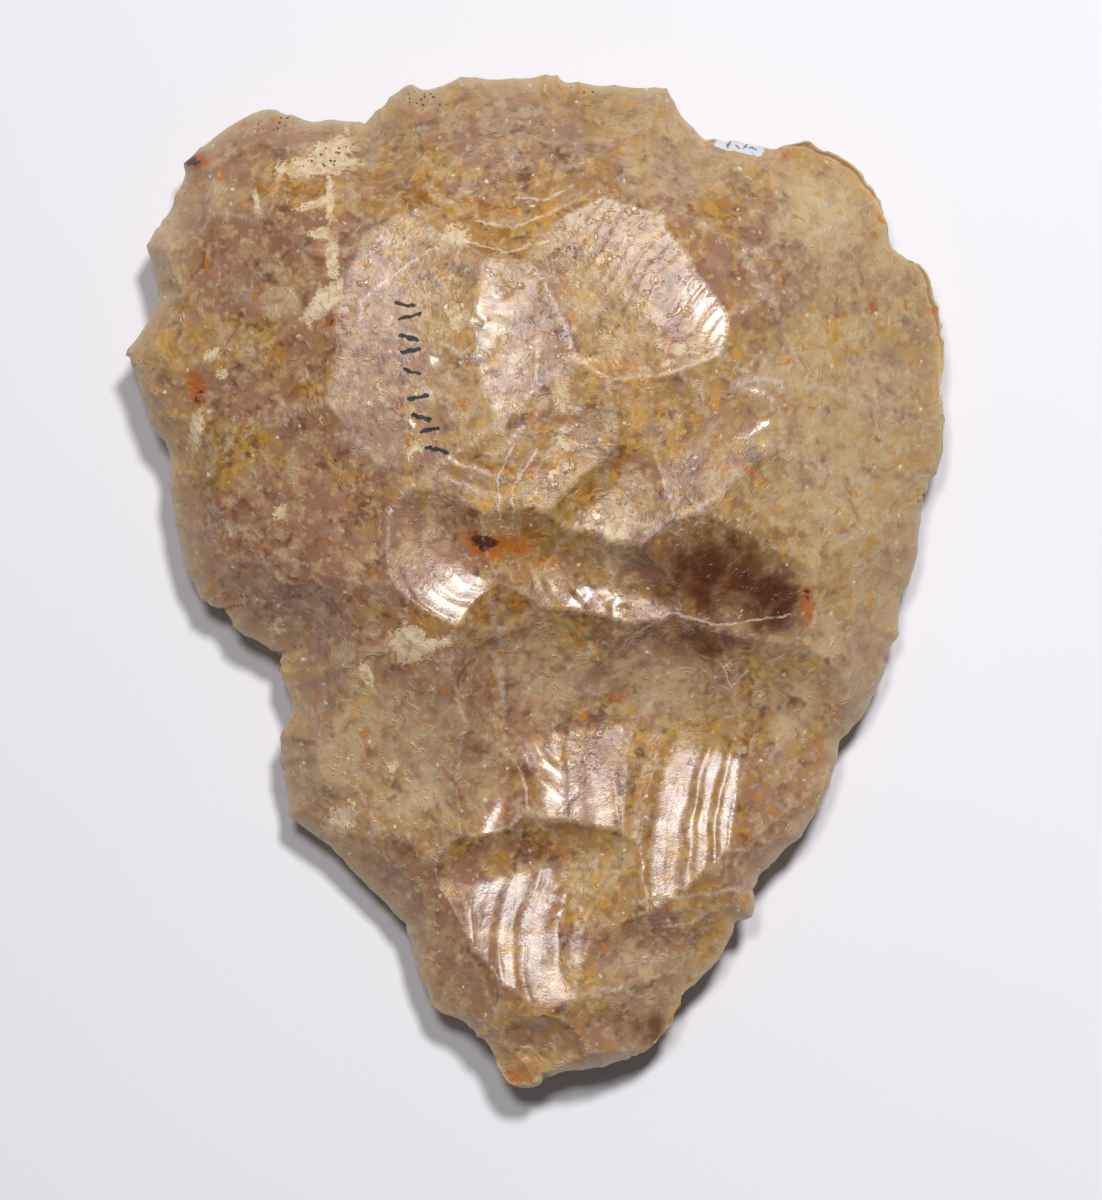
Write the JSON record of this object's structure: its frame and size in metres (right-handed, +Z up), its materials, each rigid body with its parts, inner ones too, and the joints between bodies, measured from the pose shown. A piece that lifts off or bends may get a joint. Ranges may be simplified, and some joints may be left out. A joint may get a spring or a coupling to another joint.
{
  "type": "stone hand axe",
  "caption": "Knapped flint hand axe lying flat: a pointed heart-shaped biface with flake scars, ripples, chipped edge and a small resting facet.",
  "frame": {"origin": "middle of the outline's box, on the ground under the stone", "axes": "+Z up from the resting facet, +Y from the tip towards the butt, +X to the right with the tip pointing at the viewer"},
  "size_m": [0.086, 0.1066, 0.0238],
  "materials": {
    "flint": "glossy translucent honey and mauve-brown flint, mottled, with rust stains and small chalky inclusions"
  },
  "bodies": {
    "root": {"hand_axe": "flint"}
  },
  "joints": []
}
